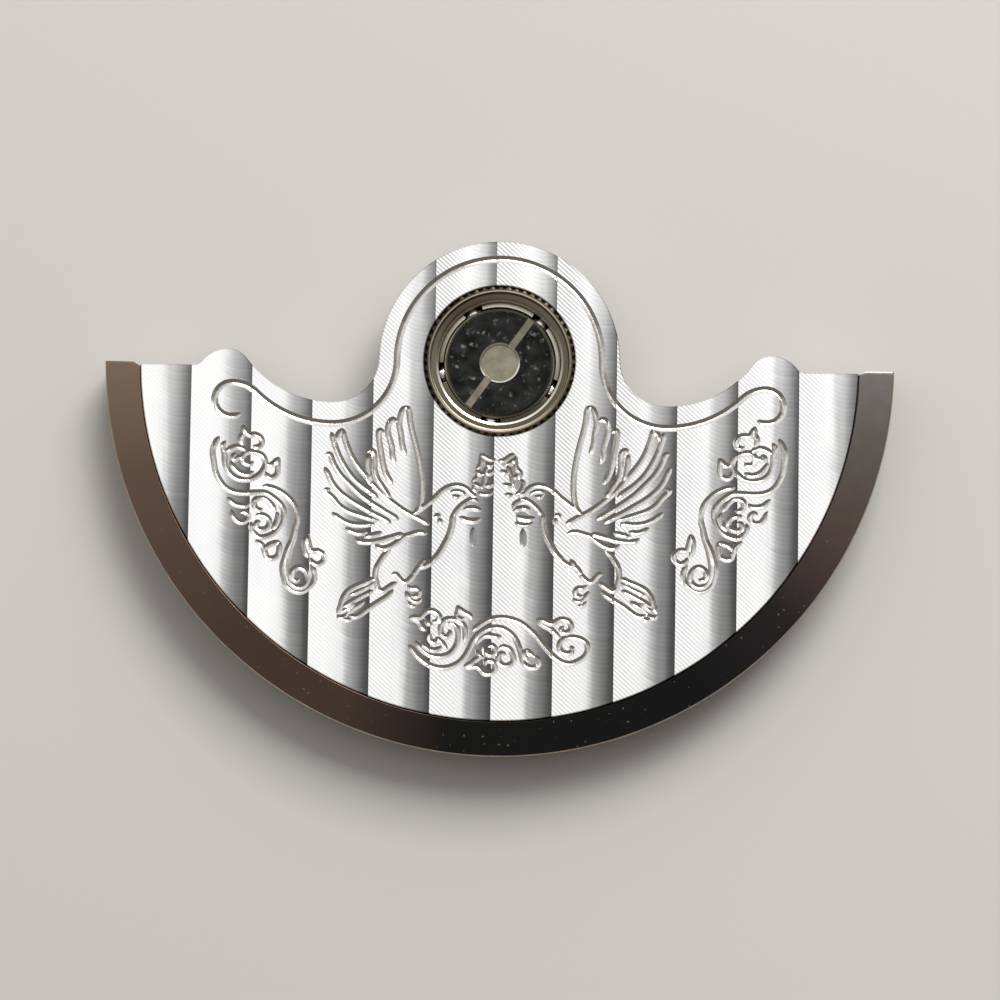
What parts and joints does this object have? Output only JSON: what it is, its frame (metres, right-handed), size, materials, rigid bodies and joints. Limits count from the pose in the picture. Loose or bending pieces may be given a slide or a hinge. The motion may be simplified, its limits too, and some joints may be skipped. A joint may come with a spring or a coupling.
{
  "type": "automatic watch rotor",
  "caption": "Semicircular winding rotor of a wristwatch: a fluted, engraved plate with a heavy polished rim that turns freely on a ball bearing held by a slotted screw.",
  "frame": {"origin": "on the rotor's axis, at the face of the bearing core that seats on the movement", "axes": "+Z along the axis, out of the movement; -Y from the axis to the middle of the heavy rim; X across the rotor's straight side"},
  "size_m": [0.026, 0.017, 0.0023],
  "materials": {
    "nickel_plate": "satin",
    "tungsten_alloy": "polished",
    "rivet_steel": "polished",
    "ring_steel": "polished",
    "cage_steel": "satin",
    "ball_steel": "polished",
    "gear_brass": "satin",
    "black_polished_steel": "polished"
  },
  "bodies": {
    "stator": {"inner_race_lower": "ring_steel", "inner_race_upper": "ring_steel", "centre_screw": "black_polished_steel"},
    "weight": {"rotor_plate": "nickel_plate", "heavy_segment": "tungsten_alloy", "segment_rivets": "rivet_steel", "bearing_outer_ring": "ring_steel", "bearing_cover_ring": "ring_steel", "drive_gear": "gear_brass"},
    "cage": {"ball_cage": "cage_steel"},
    "ball_1": {"ball_1": "ball_steel"},
    "ball_2": {"ball_2": "ball_steel"},
    "ball_3": {"ball_3": "ball_steel"},
    "ball_4": {"ball_4": "ball_steel"},
    "ball_5": {"ball_5": "ball_steel"}
  },
  "joints": [
    {"name": "weight_spin", "type": "hinge", "parent": "stator", "child": "weight", "pos_m": [0, 0, 0], "axis": [0, 0, 1], "continuous": true},
    {"name": "cage_spin", "type": "hinge", "parent": "stator", "child": "cage", "pos_m": [0, 0, 0], "axis": [0, 0, 1], "continuous": true},
    {"name": "ball_1_spin", "type": "hinge", "parent": "cage", "child": "ball_1", "pos_m": [0.00134, 0.00138, 0.00048], "axis": [0, 0, 1], "continuous": true},
    {"name": "ball_2_spin", "type": "hinge", "parent": "cage", "child": "ball_2", "pos_m": [-0.0009, 0.0017, 0.00048], "axis": [0, 0, 1], "continuous": true},
    {"name": "ball_3_spin", "type": "hinge", "parent": "cage", "child": "ball_3", "pos_m": [-0.0019, -0.00033, 0.00048], "axis": [0, 0, 1], "continuous": true},
    {"name": "ball_4_spin", "type": "hinge", "parent": "cage", "child": "ball_4", "pos_m": [-0.00027, -0.00191, 0.00048], "axis": [0, 0, 1], "continuous": true},
    {"name": "ball_5_spin", "type": "hinge", "parent": "cage", "child": "ball_5", "pos_m": [0.00173, -0.00084, 0.00048], "axis": [0, 0, 1], "continuous": true}
  ],
  "couplings": [
    {"joint": "cage_spin", "follows": "weight_spin", "ratio": 0.57792},
    {"joint": "ball_1_spin", "follows": "weight_spin", "ratio": 3.1304},
    {"joint": "ball_2_spin", "follows": "weight_spin", "ratio": 3.1304},
    {"joint": "ball_3_spin", "follows": "weight_spin", "ratio": 3.1304},
    {"joint": "ball_4_spin", "follows": "weight_spin", "ratio": 3.1304},
    {"joint": "ball_5_spin", "follows": "weight_spin", "ratio": 3.1304}
  ]
}
